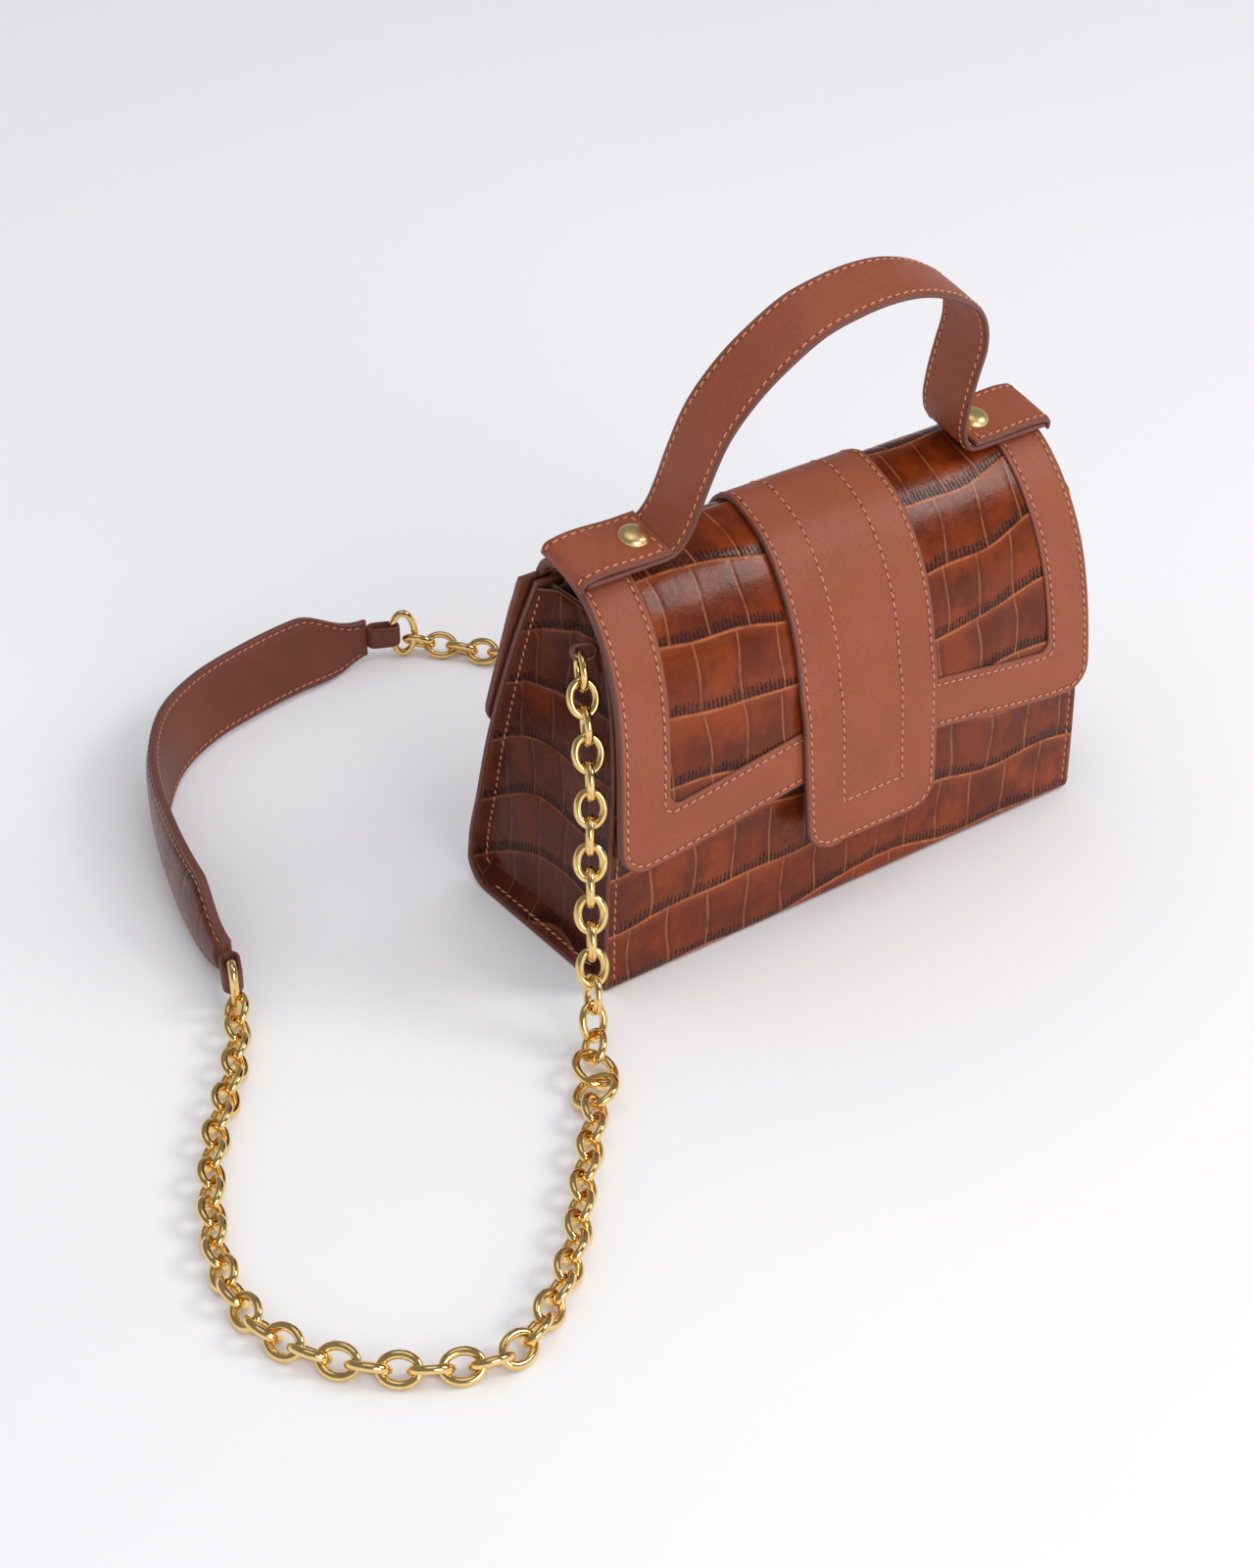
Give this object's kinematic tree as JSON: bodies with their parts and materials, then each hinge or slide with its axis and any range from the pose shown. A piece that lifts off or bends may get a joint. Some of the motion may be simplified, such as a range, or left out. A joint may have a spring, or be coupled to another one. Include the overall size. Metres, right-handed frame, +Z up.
{
  "type": "handbag",
  "caption": "Small structured leather handbag: hinged flap with a snap tab, top handle, and a chain shoulder strap with a pad.",
  "frame": {"origin": "centre of the bag's base, on the surface that it stands on", "axes": "+X along the bag's width towards its right side, the front with the flap faces -Y, +Z up"},
  "size_m": [0.3904, 0.3263, 0.2019],
  "materials": {
    "smooth_leather": "smooth satin calf, terracotta brown, fine grain",
    "croc_leather": "glossy chestnut leather embossed with a crocodile grain",
    "lining": "tan microfibre",
    "board": "bonded leather board",
    "gold": "polished pale gold plating",
    "steel": "plain steel"
  },
  "bodies": {
    "bag_body": {"rear_yoke": "smooth_leather", "yoke_filler": "smooth_leather", "anchor_loop_left": "smooth_leather", "anchor_loop_right": "smooth_leather", "pad_loop_near": "smooth_leather", "pad_loop_far": "smooth_leather", "shoulder_pad_backing": "smooth_leather", "body_wrap": "croc_leather", "gusset_left": "croc_leather", "gusset_right": "croc_leather", "shoulder_pad": "croc_leather", "lining": "lining", "lining_side_left": "lining", "lining_side_right": "lining", "slip_pocket": "lining", "board_front": "board", "board_base": "board", "board_back": "board", "chain_left_hanging_1": "gold", "chain_left_hanging_2": "gold", "chain_right_hanging_1": "gold", "chain_right_hanging_2": "gold", "chain_left_floor_1": "gold", "chain_left_floor_2": "gold", "chain_left_floor_3": "gold", "chain_left_floor_4": "gold", "chain_left_floor_5": "gold", "chain_left_floor_6": "gold", "chain_right_floor_1": "gold", "chain_right_floor_2": "gold", "chain_right_floor_3": "gold", "chain_right_floor_4": "gold", "chain_right_floor_5": "gold", "connector_ring_left_upper": "gold", "connector_ring_left_lower": "gold", "connector_ring_right_upper": "gold", "connector_ring_right_lower": "gold", "anchor_ring_left": "gold", "anchor_ring_right": "gold", "pad_ring_near": "gold", "pad_ring_far": "gold", "snap_socket": "gold", "snap_washer": "steel"},
    "flap": {"flap_panel": "croc_leather", "flap_lining": "lining", "snap_stud": "gold", "handle_rivet_left": "gold", "handle_rivet_right": "gold", "rivet_washer_left": "steel", "rivet_washer_right": "steel", "flap_border": "smooth_leather", "centre_tab": "smooth_leather", "tab_backing": "smooth_leather", "handle_strap": "smooth_leather", "handle_tab_left": "smooth_leather", "handle_tab_right": "smooth_leather"}
  },
  "joints": [
    {"name": "flap_hinge", "type": "hinge", "parent": "bag_body", "child": "flap", "pos_m": [0, 0.0062, 0.1235], "axis": [-1, 0, 0], "range_deg": [0, 120]}
  ]
}
